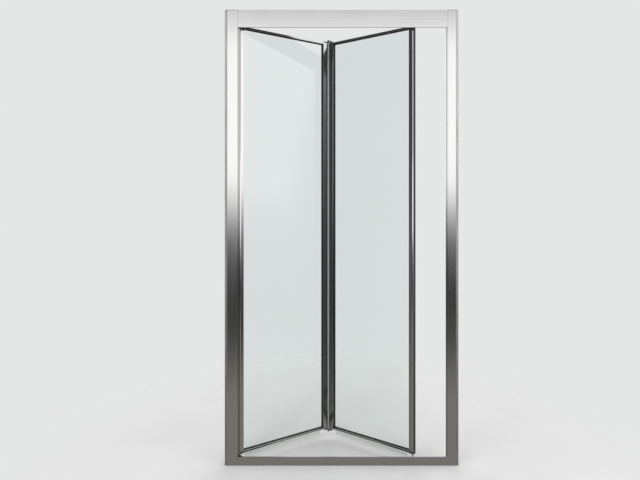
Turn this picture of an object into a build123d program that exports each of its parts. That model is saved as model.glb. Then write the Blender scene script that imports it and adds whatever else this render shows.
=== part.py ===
from build123d import *
from math import cos, radians, sin, sqrt
import os

# A framed folding shower door between two walls. The left leaf turns on pivots beside the
# left jamb, the right leaf is hinged to it in the middle, and the far edge of the right leaf
# is led by rollers in the head track and in the groove of the threshold.
# +Z is up, the bather's side is +Y, and the origin is under the middle of the threshold.

# Outer frame, in millimetres
door_width = 1000.0
door_height = 1950.0
frame_depth = 44.0
frame_wall = 2.0
edge_round = 0.9
jamb_outer = 490.0
jamb_inner = 454.0
lip_edge = 444.0
wall_channel_depth = 28.0
wall_screw_heights = (150.0, 700.0, 1250.0, 1800.0)
wall_screw_hole = 2.75
jamb_screw_heights = (300.0, 975.0, 1650.0)
jamb_screw_at = 481.0
cap_plate = 2.0
cap_bevel = 0.5
stub_near = 459.5
stub_far = 471.0
stub_half = 16.0
stub_length = 12.0

# Head, with the roller track under it
track_bottom = 1907.0
track_roof = 1930.0
track_half = 9.0
head_back_round = 1.5
fascia_bottom = 1874.0
fascia_curl = 3.5
curl_thick = 1.5
header_ports = ((-14.0, 1944.0), (16.0, 1944.0))

# Threshold, with the guide groove in it
sill_height = 22.0
sill_groove_floor = 9.0
sill_groove_half = 7.0
slope_foot = 12.0
water_bar_top = 38.0
sill_ports = ((-14.0, 4.5), (15.5, 4.5))

# Leaves
leaf_reach = 440.0
leaf_thick = 24.0
leaf_bottom = 46.0
leaf_top = 1885.0
leaf_wall = 1.6
rest_fold = 33.5
widest_fold = 82.0
pivot_x = -440.0
nose_radius = leaf_thick / 2
nose_flat = 13.0
nose_chamber = 4.5
centre_width = 18.0
centre_gap = 9.0
centre_chamfer = 0.5
web = 2.0
rail_height = 8.0
rail_floor = 3.0
rail_chamfer = 0.6
rail_screw_side = 8.2

# Glazing and seals
glass_thick = 6.0
gasket_wall = 1.75
gasket_foot = 1.5
gasket_show = 3.0
tube_radius = 4.75
tube_wall = 0.9
tube_fin_low = 9.4
tube_fin_high = 10.8
tube_fin_depth = 3.5
wiper_bottom = 25.0
wiper_flange = 2.4
wiper_half = 7.0
wiper_key = 1.6
wiper_key_half = 1.5
wiper_inset = 13.0
blade_root = 3.8
blade_knee = 12.0
blade_splay = 7.6
blade_thick = 1.1
fin_foot = 3.0
fin_length = 16.0
fin_thick = 1.2
fin_lean = 19.5
magnet_half = 4.2
magnet_proud = 0.8
magnet_sunk = 1.0
magnet_round = 0.6
nose_strip_seat = 7.5

# Pivots, in millimetres above the floor where a height is meant
pin_radius = 4.0
pin_in_leaf = 28.0
pin_end_gap = 0.5
running_fit = 0.05
block_right = -424.0
block_end_gap = 0.5
block_corner = 3.0
block_screw_x = -428.5
lower_block_face = 26.0
upper_block_face = 1905.0
bush_hexagon = 6.2
bush_length = 15.0
bush_bore = 13.0
bush_flange_radius = 7.0
bush_flange = 1.5
pivot_hexagon = 7.0
hexagon_height = 6.0
upper_hexagon_low = 1894.0
plug_flange_radius = 11.5
plug_flange_end = 12.5
plug_flange = 3.0
plug_body_near = 5.6
plug_body_half = 5.8
plug_length = 30.0

# Centre hinge
lug_radius = 5.5
hinge_pin_radius = 2.5
hinge_level = 6.5
lug_gap = 0.3
arm_depth = 7.5
arm_length = 11.0
bracket_base = 3.0
bracket_half = 9.0
hinge_head_radius = 4.3
hinge_head = 2.0

# Guides and stops
guide_pin_radius = 3.0
top_roller_radius = 8.7
top_roller_low = 1910.0
top_roller_high = 1924.0
sill_roller_radius = 6.7
sill_roller_low = 11.5
sill_roller_high = 20.0
roller_side_gap = 0.3
guide_hexagon = 5.0
guide_hexagon_height = 5.0
guide_nut = 1.5
stop_gap = 1.0
stop_length = 9.0
stop_height = 18.0
stop_bevel = 1.0

# Small screws and the holes for them are drawn with six flats.
screw_flats = 6
port_radius = 2.1
port_wall = 2.0
port_flats = 6
screw_play = 0.05
frame_screw_head = 3.6
frame_screw_head_height = 2.4
frame_screw_length = 20.0
fixing_head = 3.8
fixing_head_height = 2.2
fixing_length = 8.0
cover_radius = 6.5
cover_height = 4.0
cover_flats = 10
cover_bevel = 1.5
cover_hollow = 4.6
cover_hollow_depth = 2.6
rail_port = 1.75
rail_screw_head = 2.15
rail_screw_head_height = 2.0
rail_screw_length = 24.0
driver_hole = 2.6
block_screw_head = 3.4
block_screw_head_height = 1.8
block_screw_sunk = 0.2
block_screw_reach = 4.0

# The fold at rest sets where the centre hinge and the guide axis stand.
outer_face = -leaf_thick / 2
hinge_x = pivot_x + leaf_reach * cos(radians(rest_fold)) - outer_face * sin(radians(rest_fold))
hinge_y = leaf_reach * sin(radians(rest_fold)) + outer_face * cos(radians(rest_fold))
guide_x = 2 * hinge_x - pivot_x
open_reach = leaf_reach * cos(radians(widest_fold)) - outer_face * sin(radians(widest_fold))
guide_x_open = pivot_x + 2 * open_reach
half_depth = frame_depth / 2
head_front = frame_wall - half_depth
groove_half = glass_thick / 2 + gasket_wall
centre_end = leaf_reach - centre_gap
centre_start = centre_end - centre_width
groove_floor_near = nose_chamber + web
groove_floor_far = centre_start + nose_flat - groove_floor_near
rail_middle = rail_height / 2
hinge_stem = 2 * hinge_level

# Each leaf is drawn from its own outer axis: across the leaf, then through its thickness.
# The right leaf is the mirror image of the left, so its thickness runs the other way.
fold_cos = cos(radians(rest_fold))
fold_sin = sin(radians(rest_fold))
pivot_leaf = {
    "name": "pivot_leaf",
    "plan": Plane(origin=(pivot_x, 0, 0), x_dir=(fold_cos, fold_sin, 0), z_dir=(0, 0, 1)),
    "hand": 1,
}
leading_leaf = {
    "name": "leading_leaf",
    "plan": Plane(origin=(guide_x, 0, 0), x_dir=(-fold_cos, fold_sin, 0), z_dir=(0, 0, 1)),
    "hand": -1,
}


def save(builder, name):
    # Label one finished piece and write it.
    builder.part.label = name
    export_step(builder.part, f"parts/{name}.step")


def bar(first_x, second_x, first_y, second_y, mode=Mode.ADD):
    # A rectangle by two opposite corners, in the sketch that is open.
    with Locations(((first_x + second_x) / 2, (first_y + second_y) / 2)):
        Rectangle(abs(second_x - first_x), abs(second_y - first_y), mode=mode)


def mirrored_bar(low_x, high_x, low_y, high_y, mode=Mode.ADD):
    # The same rectangle on both sides of the middle line.
    bar(low_x, high_x, low_y, high_y, mode)
    bar(low_x, high_x, -low_y, -high_y, mode)


def square_to(leaf, distance):
    # A plane across a leaf, at a distance from its outer axis, with its first axis upwards.
    plan = leaf["plan"]
    return Plane(origin=plan.origin + plan.x_dir * distance, x_dir=(0, 0, 1), z_dir=plan.x_dir)


def turned(centre_x, centre_y, steps, mode=Mode.ADD):
    # A piece turned about an upright axis, as steps of radius, low end and high end.
    spindle = Plane(origin=(centre_x, centre_y, 0), x_dir=(1, 0, 0), z_dir=(0, -1, 0))
    with BuildSketch(spindle) as half_section:
        for radius, low, high in steps:
            bar(0, radius, low, high)
    revolve(half_section.sketch, axis=Axis((centre_x, centre_y, 0), (0, 0, 1)), mode=mode)


def prisms(seat, places, radius, length, mode=Mode.ADD, flats=screw_flats):
    # Straight-sided studs or holes on one plane: screw heads, shanks and what they pass through.
    with BuildSketch(seat) as section:
        with Locations(*places):
            RegularPolygon(radius, flats)
    extrude(section.sketch, amount=length, mode=mode)


def wall_channel(side, name):
    # The U that is screwed to the wall and hidden inside the jamb.
    half = half_depth - frame_wall
    near = door_width / 2 - wall_channel_depth
    inner = door_width / 2 - frame_wall
    with BuildPart() as channel:
        with BuildSketch(Plane.XY):
            bar(side * near, side * door_width / 2, -half, half)
            bar(side * near, side * inner, frame_wall - half, half - frame_wall, Mode.SUBTRACT)
        extrude(amount=door_height - cap_plate)
        with BuildSketch(Plane.YZ.offset(side * door_width / 2)):
            with Locations(*[(0, height) for height in wall_screw_heights]):
                Circle(wall_screw_hole)
        extrude(amount=-side * 2 * frame_wall, mode=Mode.SUBTRACT)
        cut_jamb_screw_holes(side)
    save(channel, name)


def jamb_screw_places(side):
    return [(side * jamb_screw_at, height) for height in jamb_screw_heights]


def cut_jamb_screw_holes(side):
    # The holes through the flanges on the bather's side.
    inside = Plane.XZ.offset(-half_depth)
    prisms(inside, jamb_screw_places(side), port_radius, 3 * frame_wall, Mode.SUBTRACT)


def jamb_outline(side, lip):
    # The section of a jamb, filled: the body and, on the pivot side, the lip over the leaf's nose.
    bar(side * jamb_inner, side * jamb_outer, -half_depth, half_depth)
    if lip:
        bar(side * lip_edge, side * jamb_outer, -half_depth, head_front)


def jamb(side, name, lip):
    # A jamb is a U that slides over the wall channel, with holes for the corner screws.
    half = half_depth - frame_wall
    with BuildPart() as post:
        with BuildSketch(Plane.XY):
            jamb_outline(side, lip)
            bar(side * (jamb_inner + frame_wall), side * jamb_outer, -half, half, Mode.SUBTRACT)
            if not lip:
                sunk = side * (jamb_inner + magnet_sunk)
                bar(side * jamb_inner, sunk, -magnet_half, magnet_half, Mode.SUBTRACT)
        extrude(amount=door_height - cap_plate)
        front = post.edges().filter_by(Axis.Z).group_by(Axis.Y)[0]
        fillet(front, edge_round)
        face = Plane.YZ.offset(side * jamb_inner)
        prisms(face, header_ports + sill_ports, port_radius, side * 2 * frame_wall, Mode.SUBTRACT)
        cut_jamb_screw_holes(side)
    save(post, name)


def jamb_end_caps():
    # Moulded caps close the jambs at the top, each with a stub that grips inside.
    foot = Plane.XY.offset(door_height - cap_plate)
    with BuildPart() as caps:
        for side, lip in ((-1, True), (1, False)):
            with BuildSketch(foot):
                jamb_outline(side, lip)
                bar(side * jamb_outer, side * door_width / 2, head_front, -head_front)
            extrude(amount=cap_plate)
            with BuildSketch(foot):
                bar(side * stub_near, side * stub_far, -stub_half, stub_half)
                near = side * (stub_near + frame_wall)
                far = side * (stub_far - frame_wall)
                bar(near, far, frame_wall - stub_half, stub_half - frame_wall, Mode.SUBTRACT)
            extrude(amount=-stub_length)
        chamfer(caps.edges().group_by(Axis.Z)[-1], cap_bevel)
    save(caps, "jamb_end_caps")


def screw_ports(places):
    # Ports in an extrusion, each a ring that a screw cuts its thread in.
    with Locations(*places):
        RegularPolygon(port_radius + port_wall, port_flats)
    with Locations(*places):
        RegularPolygon(port_radius, screw_flats, mode=Mode.SUBTRACT)


def tube(low_y, high_y, low_z, high_z):
    # A rectangular tube section, with a wall of the frame's thickness.
    bar(low_y, high_y, low_z, high_z)
    inner_y = (low_y + frame_wall, high_y - frame_wall)
    inner_z = (low_z + frame_wall, high_z - frame_wall)
    bar(*inner_y, *inner_z, Mode.SUBTRACT)


def header():
    # The head: a box beam, and under it the two hollow legs that the roller runs between.
    end = Plane.YZ.offset(-jamb_inner)
    with BuildPart() as beam:
        with BuildSketch(end):
            tube(head_front, half_depth, track_roof, door_height)
            screw_ports(header_ports)
        extrude(amount=2 * jamb_inner)
        prisms(Plane.XY.offset(track_roof), [(block_screw_x, 0)], port_radius, frame_wall, Mode.SUBTRACT)
        rear_edge = beam.edges().filter_by(Axis.X).group_by(Axis.Y)[-1].group_by(Axis.Z)[-1]
        fillet(rear_edge, head_back_round)
    save(beam, "header_beam")
    legs = (("header_track_front", head_front, -track_half), ("header_track_rear", track_half, half_depth))
    for name, low, high in legs:
        with BuildPart() as leg:
            with BuildSketch(end):
                tube(low, high, track_bottom, track_roof)
            extrude(amount=2 * jamb_inner)
        save(leg, name)


def header_fascia():
    # The clip-on strip in front of the head, with a rolled lower edge that hides the hinge.
    with BuildPart() as strip:
        with BuildSketch(Plane.YZ.offset(-lip_edge)):
            bar(-half_depth, head_front, fascia_bottom, door_height)
            bar(-half_depth, fascia_curl - half_depth, fascia_bottom, fascia_bottom + curl_thick)
        extrude(amount=lip_edge + jamb_inner)
        rolled = strip.edges().filter_by(Axis.X).group_by(Axis.Y)[0]
        fillet(rolled, edge_round)
    save(strip, "header_fascia")


def threshold():
    # The sill: a hollow plate, and on it the two hollow ridges that leave the guide groove
    # between them. The ridge on the bather's side slopes, so that water runs back.
    end = Plane.YZ.offset(-jamb_inner)
    with BuildPart() as plate:
        with BuildSketch(end):
            tube(head_front, half_depth, 0, sill_groove_floor)
            screw_ports(sill_ports)
        extrude(amount=2 * jamb_inner)
        floor = Plane.XY.offset(sill_groove_floor)
        prisms(floor, [(block_screw_x, 0)], port_radius, -frame_wall, Mode.SUBTRACT)
    save(plate, "threshold_plate")
    with BuildPart() as front:
        with BuildSketch(end):
            tube(head_front, -sill_groove_half, sill_groove_floor, sill_height)
        extrude(amount=2 * jamb_inner)
    save(front, "threshold_front_ridge")
    with BuildPart() as rear:
        with BuildSketch(end):
            with BuildLine():
                Polyline(
                    (sill_groove_half, sill_groove_floor),
                    (half_depth, sill_groove_floor),
                    (half_depth, slope_foot),
                    (slope_foot, sill_height),
                    (sill_groove_half, sill_height),
                    close=True,
                )
            make_face()
            with BuildLine():
                Polyline(
                    (sill_groove_half + frame_wall, sill_groove_floor + frame_wall),
                    (half_depth - frame_wall, sill_groove_floor + frame_wall),
                    (sill_groove_floor + frame_wall, sill_height - frame_wall),
                    (sill_groove_half + frame_wall, sill_height - frame_wall),
                    close=True,
                )
            make_face(mode=Mode.SUBTRACT)
        extrude(amount=2 * jamb_inner)
    save(rear, "threshold_rear_ridge")


def water_bar():
    # The raised strip along the front of the sill that keeps water in.
    with BuildPart() as strip:
        with BuildSketch(Plane.YZ.offset(-lip_edge)):
            bar(-half_depth, head_front, 0, water_bar_top)
        extrude(amount=lip_edge + jamb_inner)
        crest = strip.edges().filter_by(Axis.X).group_by(Axis.Z)[-1]
        fillet(crest, edge_round)
    save(strip, "water_bar")


def pivot_block(name, seat, face, half):
    # A block that holds a bush and a countersunk screw, from its seat to its open face.
    inwards = 1 if seat > face else -1
    with BuildPart() as block:
        with BuildSketch(Plane.XY.offset(seat)):
            bar(block_end_gap - jamb_inner, block_right, -half, half)
        extrude(amount=face - seat)
        far_corners = block.edges().filter_by(Axis.Z).group_by(Axis.X)[-1]
        chamfer(far_corners, block_corner)
        open_face = Plane.XY.offset(face)
        prisms(open_face, [(pivot_x, 0)], bush_hexagon, inwards * bush_length, Mode.SUBTRACT)
        sink = block_screw_head + screw_play
        depth = block_screw_head_height + block_screw_sunk
        prisms(open_face, [(block_screw_x, 0)], sink, inwards * depth, Mode.SUBTRACT)
        prisms(open_face, [(block_screw_x, 0)], port_radius, seat - face, Mode.SUBTRACT)
    save(block, name)


def pivot_blocks():
    # The blocks sit in the groove of the sill and in the head track, with a bush each.
    # A bush has a hexagon body, so that it can't turn with the pin, and the lower one has a
    # flange that carries the weight of the leaves.
    pivot_block("lower_pivot_block", sill_groove_floor, lower_block_face, sill_groove_half)
    pivot_block("upper_pivot_block", track_roof, upper_block_face, track_half)
    with BuildPart() as bushes:
        for face, inwards in ((lower_block_face, -1), (upper_block_face, 1)):
            bore = sorted((face - inwards * bush_flange, face + inwards * bush_bore))
            prisms(Plane.XY.offset(face), [(pivot_x, 0)], bush_hexagon, inwards * bush_length)
            if face == lower_block_face:
                turned(pivot_x, 0, [(bush_flange_radius, face, face + bush_flange)])
            turned(pivot_x, 0, [(pin_radius + running_fit, *bore)], Mode.SUBTRACT)
    save(bushes, "pivot_bushes")


def pivot_block_screws():
    # One countersunk screw holds each pivot block.
    place = [(block_screw_x, 0)]
    with BuildPart() as screws:
        for seat, face, inwards in (
            (sill_groove_floor, lower_block_face, -1),
            (track_roof, upper_block_face, 1),
        ):
            top = Plane.XY.offset(face + inwards * block_screw_sunk)
            throat = Plane.XY.offset(face + inwards * (block_screw_sunk + block_screw_head_height))
            prisms(top, place, block_screw_head, inwards * block_screw_head_height)
            shank = abs(seat - throat.origin.Z) + block_screw_reach
            prisms(throat, place, port_radius - screw_play, inwards * shank)
    save(screws, "pivot_block_screws")


def track_stops():
    # Blocks in the head track stop the roller when the door is shut and when it is folded.
    shut_face = -pivot_x + top_roller_radius + stop_gap
    open_face = guide_x_open - top_roller_radius - stop_gap
    for name, low, high in (
        ("close_stop", shut_face, jamb_inner),
        ("open_stop", open_face - stop_length, open_face),
    ):
        with BuildPart() as stop:
            with BuildSketch(Plane.XY.offset(track_roof)):
                bar(low, high, -track_half, track_half)
            extrude(amount=-stop_height)
            chamfer(stop.edges().group_by(Axis.Z)[0], stop_bevel)
        save(stop, name)


def fin_seal():
    # The rubber fin behind the lip of the pivot jamb leans towards the leaf's round nose.
    foot_x = -jamb_inner + fin_foot / 2
    foot_y = head_front + fin_foot / 2
    blade_x = foot_x + fin_length / 2 * cos(radians(fin_lean))
    blade_y = foot_y + fin_length / 2 * sin(radians(fin_lean))
    with BuildPart() as fin:
        with BuildSketch(Plane.XY.offset(sill_height)):
            bar(-jamb_inner, -jamb_inner + fin_foot, head_front, head_front + fin_foot)
            with Locations(Location((blade_x, blade_y), fin_lean)):
                Rectangle(fin_length, fin_thick)
        extrude(amount=track_bottom - sill_height)
    save(fin, "jamb_fin_seal")


def closing_strip():
    # The magnetic strip set in the face of the closing jamb.
    with BuildPart() as strip:
        with BuildSketch(Plane.XY.offset(sill_height)):
            bar(jamb_inner - magnet_proud, jamb_inner + magnet_sunk, -magnet_half, magnet_half)
        extrude(amount=track_bottom - sill_height)
        fillet(strip.edges().filter_by(Axis.Z).group_by(Axis.X)[0], magnet_round)
    save(strip, "closing_magnet_strip")


def corner_screws():
    # Pan-head screws run through the jambs into the ports of the head and of the sill.
    places = header_ports + sill_ports
    with BuildPart() as screws:
        for side in (-1, 1):
            seat = Plane.YZ.offset(side * (jamb_inner + frame_wall))
            prisms(seat, places, frame_screw_head, side * frame_screw_head_height)
            prisms(seat, places, port_radius - screw_play, -side * frame_screw_length)
    save(screws, "corner_screws")


def jamb_fixing_screws():
    # Screws lock the jambs on the wall channels, each under a small cap that snaps on.
    face = Plane.XZ.offset(-half_depth)
    places = jamb_screw_places(-1) + jamb_screw_places(1)
    with BuildPart() as screws:
        prisms(face, places, fixing_head, -fixing_head_height)
        prisms(face, places, port_radius - screw_play, fixing_length)
    save(screws, "jamb_fixing_screws")
    with BuildPart() as caps:
        prisms(face, places, cover_radius, -cover_height, flats=cover_flats)
        chamfer(caps.edges().group_by(Axis.Y)[-1], cover_bevel)
        prisms(face, places, cover_hollow, -cover_hollow_depth, Mode.SUBTRACT)
    save(caps, "screw_cover_caps")


def rail_screw_line(leaf):
    # The rails' screws run on the bather's side of the glass, as measured on a plane across.
    return -leaf["hand"] * rail_screw_side


def rail_screw_places(leaf):
    # One screw at the middle of each rail's height.
    levels = (leaf_bottom + rail_middle, leaf_top - rail_middle)
    return [(level, rail_screw_line(leaf)) for level in levels]


def nose_stile(leaf, name, with_bumper):
    # The outer stile of a leaf: a half-round hollow nose about the axis, and a glazing groove.
    # The right leaf's nose is cut flat for the bumper that meets the closing jamb.
    half = nose_radius - leaf_wall
    pocket = groove_half + leaf_wall
    with BuildPart() as stile:
        with BuildSketch(leaf["plan"].offset(leaf_bottom)):
            Circle(nose_radius)
            Circle(half, mode=Mode.SUBTRACT)
            bar(0, nose_flat, outer_face, -outer_face)
            bar(0, nose_chamber, -half, half, Mode.SUBTRACT)
            bar(groove_floor_near, nose_flat, -groove_half, groove_half, Mode.SUBTRACT)
            mirrored_bar(groove_floor_near, nose_flat - leaf_wall, pocket, half, Mode.SUBTRACT)
            if with_bumper:
                chord = sqrt(nose_radius ** 2 - nose_strip_seat ** 2) - leaf_wall
                bar(-nose_strip_seat, leaf_wall - nose_strip_seat, -chord, chord)
                bar(-nose_radius, -nose_strip_seat, outer_face, -outer_face, Mode.SUBTRACT)
        extrude(amount=leaf_top - leaf_bottom)
        prisms(square_to(leaf, 0), rail_screw_places(leaf), rail_port, nose_flat, Mode.SUBTRACT)
    save(stile, name)


def centre_stile(leaf, with_seal_groove):
    # The inner stile: a flat box section with a port for the screws of the hinge brackets.
    wide = -outer_face
    half = wide - leaf_wall
    pocket = groove_half + leaf_wall
    chamber_start = groove_floor_far + web
    chamber_end = centre_end - web
    with BuildPart() as stile:
        with BuildSketch(leaf["plan"].offset(leaf_bottom)):
            bar(centre_start, centre_end, -wide, wide)
            bar(chamber_start, chamber_end, -half, half, Mode.SUBTRACT)
            bar(centre_start, groove_floor_far, -groove_half, groove_half, Mode.SUBTRACT)
            mirrored_bar(centre_start + leaf_wall, groove_floor_far, pocket, half, Mode.SUBTRACT)
            screw_ports(bracket_ports())
            if with_seal_groove:
                bar(chamber_end - leaf_wall, chamber_end, -wide, leaf_wall - tube_fin_low)
                groove = (centre_end - tube_fin_depth, centre_end)
                bar(*groove, -tube_fin_high, -tube_fin_low, Mode.SUBTRACT)
        extrude(amount=leaf_top - leaf_bottom)
        corners = [
            edge
            for edge in stile.edges().filter_by(Axis.Z)
            if abs(abs(leaf["plan"].to_local_coords(edge.center()).Y) - wide) < screw_play
        ]
        chamfer(corners, centre_chamfer)
        inner_face = square_to(leaf, centre_start)
        places = rail_screw_places(leaf)
        prisms(inner_face, places, rail_port, chamber_start - centre_start, Mode.SUBTRACT)
        prisms(square_to(leaf, centre_end), places, driver_hole, -web, Mode.SUBTRACT)
    save(stile, f"{leaf['name']}_centre_stile")


def bracket_ports():
    # Where the screw of a hinge bracket enters the centre stile: the middle of its chamber.
    return (((groove_floor_far + centre_end) / 2, 0),)


def rail(leaf, name, foot, upwards):
    # A slim horizontal rail with a glazing groove, a slot for the wiper and a screw port.
    def level(distance):
        return foot + upwards * distance

    def slab(low, high, side, mode=Mode.ADD):
        bar(level(low), level(high), -side, side, mode)

    length = centre_start - nose_flat
    with BuildPart() as piece:
        with BuildSketch(square_to(leaf, nose_flat)):
            slab(0, rail_height, -outer_face)
            slab(rail_floor, rail_height, groove_half, Mode.SUBTRACT)
            slab(0, wiper_key, wiper_key_half, Mode.SUBTRACT)
            with Locations((level(rail_middle), rail_screw_line(leaf))):
                RegularPolygon(rail_port, screw_flats, mode=Mode.SUBTRACT)
        extrude(amount=length)
        corners = [
            edge
            for edge in piece.edges()
            if abs(edge.length - length) < screw_play
            and abs(abs(leaf["plan"].to_local_coords(edge.center()).Y) + outer_face) < screw_play
        ]
        chamfer(corners, rail_chamfer)
    save(piece, name)


def glass(leaf):
    # The safety glass, its edges bedded in the gasket.
    left = groove_floor_near + gasket_foot
    right = groove_floor_far - gasket_foot
    low = leaf_bottom + rail_floor + gasket_foot
    high = leaf_top - rail_floor - gasket_foot
    with BuildPart() as pane:
        with BuildSketch(leaf["plan"].offset(low)):
            bar(left, right, -glass_thick / 2, glass_thick / 2)
        extrude(amount=high - low)
    save(pane, f"{leaf['name']}_glass")


def gasket(leaf):
    # The black glazing gasket: one loop of U section round the glass, with a lip that shows.
    low = leaf_bottom + rail_floor
    high = leaf_top - rail_floor
    show_low = leaf_bottom + rail_height + gasket_show
    show_high = leaf_top - rail_height - gasket_show
    with BuildPart() as loop:
        with BuildSketch(leaf["plan"].offset(low)):
            bar(groove_floor_near, groove_floor_far, -groove_half, groove_half)
        extrude(amount=high - low)
        with BuildSketch(leaf["plan"].offset(show_low)):
            bar(nose_flat + gasket_show, centre_start - gasket_show, -groove_half, groove_half)
        extrude(amount=show_high - show_low, mode=Mode.SUBTRACT)
        with BuildSketch(leaf["plan"].offset(low + gasket_foot)):
            left = groove_floor_near + gasket_foot
            right = groove_floor_far - gasket_foot
            bar(left, right, -glass_thick / 2, glass_thick / 2)
        extrude(amount=high - low - 2 * gasket_foot, mode=Mode.SUBTRACT)
    save(loop, f"{leaf['name']}_gasket")


def wiper_seal(leaf):
    # The clear wiper under a leaf: a key in the rail's slot, a flange and two splayed blades.
    flange_bottom = leaf_bottom - wiper_flange
    knee = leaf_bottom - blade_knee
    with BuildPart() as wiper:
        with BuildSketch(square_to(leaf, nose_flat + wiper_inset)):
            bar(flange_bottom, leaf_bottom, -wiper_half, wiper_half)
            bar(leaf_bottom, leaf_bottom + wiper_key, -wiper_key_half, wiper_key_half)
            for side in (-1, 1):
                with BuildLine():
                    Polyline(
                        (flange_bottom, side * (blade_root + blade_thick)),
                        (flange_bottom, side * blade_root),
                        (knee, side * blade_root),
                        (wiper_bottom, side * blade_splay),
                        (wiper_bottom, side * (blade_splay + blade_thick)),
                        (knee, side * (blade_root + blade_thick)),
                        close=True,
                    )
                make_face()
        extrude(amount=centre_start - nose_flat - 2 * wiper_inset)
    save(wiper, f"{leaf['name']}_wiper_seal")


def centre_seal():
    # The clear tube on the line of the centre hinge, carried by a fin in the left centre stile.
    fin_start = centre_end - tube_fin_depth
    fin_end = leaf_reach - tube_radius + tube_wall
    with BuildPart() as seal:
        with BuildSketch(pivot_leaf["plan"].offset(leaf_bottom)):
            bar(fin_start, fin_end, -tube_fin_high, -tube_fin_low)
            with Locations((leaf_reach, outer_face)):
                Circle(tube_radius)
            with Locations((leaf_reach, outer_face)):
                Circle(tube_radius - tube_wall, mode=Mode.SUBTRACT)
        extrude(amount=leaf_top - leaf_bottom)
    save(seal, "centre_seal")


def rail_screws(leaf):
    # Small-headed screws hold the rails: through the nose stile, and through the centre stile.
    places = rail_screw_places(leaf)
    with BuildPart() as screws:
        for seat_at, way in ((nose_chamber, 1), (groove_floor_far + web, -1)):
            seat = square_to(leaf, seat_at)
            prisms(seat, places, rail_screw_head, -way * rail_screw_head_height)
            prisms(seat, places, rail_port - screw_play, way * rail_screw_length)
    save(screws, f"{leaf['name']}_rail_screws")


def end_plugs(leaf, name, bore):
    # The plugs in the ends of a nose stile: a flange of the same outline, and a square body.
    with BuildPart() as plugs:
        for end, inwards in ((leaf_bottom, 1), (leaf_top, -1)):
            with BuildSketch(leaf["plan"].offset(end)):
                Circle(plug_flange_radius)
                bar(0, plug_flange_end, -plug_flange_radius, plug_flange_radius)
            extrude(amount=-inwards * plug_flange)
            with BuildSketch(leaf["plan"].offset(end)):
                bar(-plug_body_near, nose_chamber, -plug_body_half, plug_body_half)
            extrude(amount=inwards * plug_length)
            with BuildSketch(leaf["plan"].offset(end - inwards * plug_flange)):
                Circle(bore)
            extrude(amount=inwards * (plug_flange + plug_length), mode=Mode.SUBTRACT)
    save(plugs, name)


def pivot_pins():
    # Each pin has a hexagon that takes a spanner, so that the leaf's height can be set.
    lower_end = lower_block_face - bush_bore + pin_end_gap
    upper_end = upper_block_face + bush_bore - pin_end_gap
    lower_hexagon_low = lower_block_face + bush_flange + running_fit
    for name, low, high, hexagon_low in (
        ("lower_pivot_pin", lower_end, leaf_bottom + pin_in_leaf, lower_hexagon_low),
        ("upper_pivot_pin", leaf_top - pin_in_leaf, upper_end, upper_hexagon_low),
    ):
        with BuildPart() as pin:
            turned(pivot_x, 0, [(pin_radius, low, high)])
            prisms(Plane.XY.offset(hexagon_low), [(pivot_x, 0)], pivot_hexagon, hexagon_height)
        save(pin, name)


def hinge_bracket(leaf, name, end, outwards, dropped):
    # A bracket under or over a centre stile. The left leaf's lug lies next to the leaf, and the
    # right leaf's lug is dropped by one level, so the two turn on one pin. The dropped arm is
    # cut on a slant, so that the pair narrows to the pin.
    hand = leaf["hand"]
    hinge_side = hand * outer_face
    arm_side = hinge_side + hand * arm_depth
    arm_start = centre_end - arm_length
    near = hinge_level if dropped else 0

    def at_level(distance):
        return leaf["plan"].offset(end + outwards * distance)

    with BuildPart() as bracket:
        with BuildSketch(at_level(0)):
            bar(centre_start + frame_wall, centre_end - screw_play, -bracket_half, bracket_half)
        extrude(amount=outwards * bracket_base)
        with BuildSketch(at_level(near)):
            with BuildLine():
                Polyline(
                    (arm_start, hinge_side),
                    (arm_start, arm_side),
                    (centre_end - web, arm_side),
                    (leaf_reach, hinge_side + hand * lug_radius),
                    (leaf_reach, hinge_side),
                    close=True,
                )
            make_face()
            with Locations((leaf_reach, hinge_side)):
                Circle(lug_radius)
        extrude(amount=outwards * (hinge_level - lug_gap))
        if dropped:
            with BuildSketch(at_level(0)):
                bar(arm_start, centre_end - lug_gap, hinge_side, arm_side)
            extrude(amount=outwards * hinge_level)
            upright = Plane(
                origin=at_level(0).origin,
                x_dir=leaf["plan"].x_dir,
                z_dir=leaf["plan"].x_dir.cross(Vector(0, 0, outwards)),
            )
            with BuildSketch(upright) as slant:
                with BuildLine():
                    Polyline(
                        (arm_start, hinge_level),
                        (leaf_reach - lug_radius, hinge_stem),
                        (arm_start, hinge_stem),
                        close=True,
                    )
                make_face()
            extrude(slant.sketch, amount=half_depth, both=True, mode=Mode.SUBTRACT)
        with BuildSketch(at_level(0)):
            with Locations((leaf_reach, hinge_side)):
                Circle(hinge_pin_radius + (running_fit if dropped else 0))
        extrude(amount=outwards * hinge_stem, mode=Mode.SUBTRACT)
        prisms(at_level(0), bracket_ports(), port_radius, outwards * bracket_base, Mode.SUBTRACT)
    save(bracket, name)


def hinge_pins():
    # Two short bolts carry the centre hinge, each with a head that shows under the leaves.
    for name, end, outwards in (("lower_hinge_pin", leaf_bottom, -1), ("upper_hinge_pin", leaf_top, 1)):
        stem = sorted((end, end + outwards * hinge_stem))
        seat = Plane.XY.offset(end + outwards * hinge_stem)
        with BuildPart() as pin:
            turned(hinge_x, hinge_y, [(hinge_pin_radius, *stem)])
            prisms(seat, [(hinge_x, hinge_y)], hinge_head_radius, outwards * hinge_head)
        save(pin, name)


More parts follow.
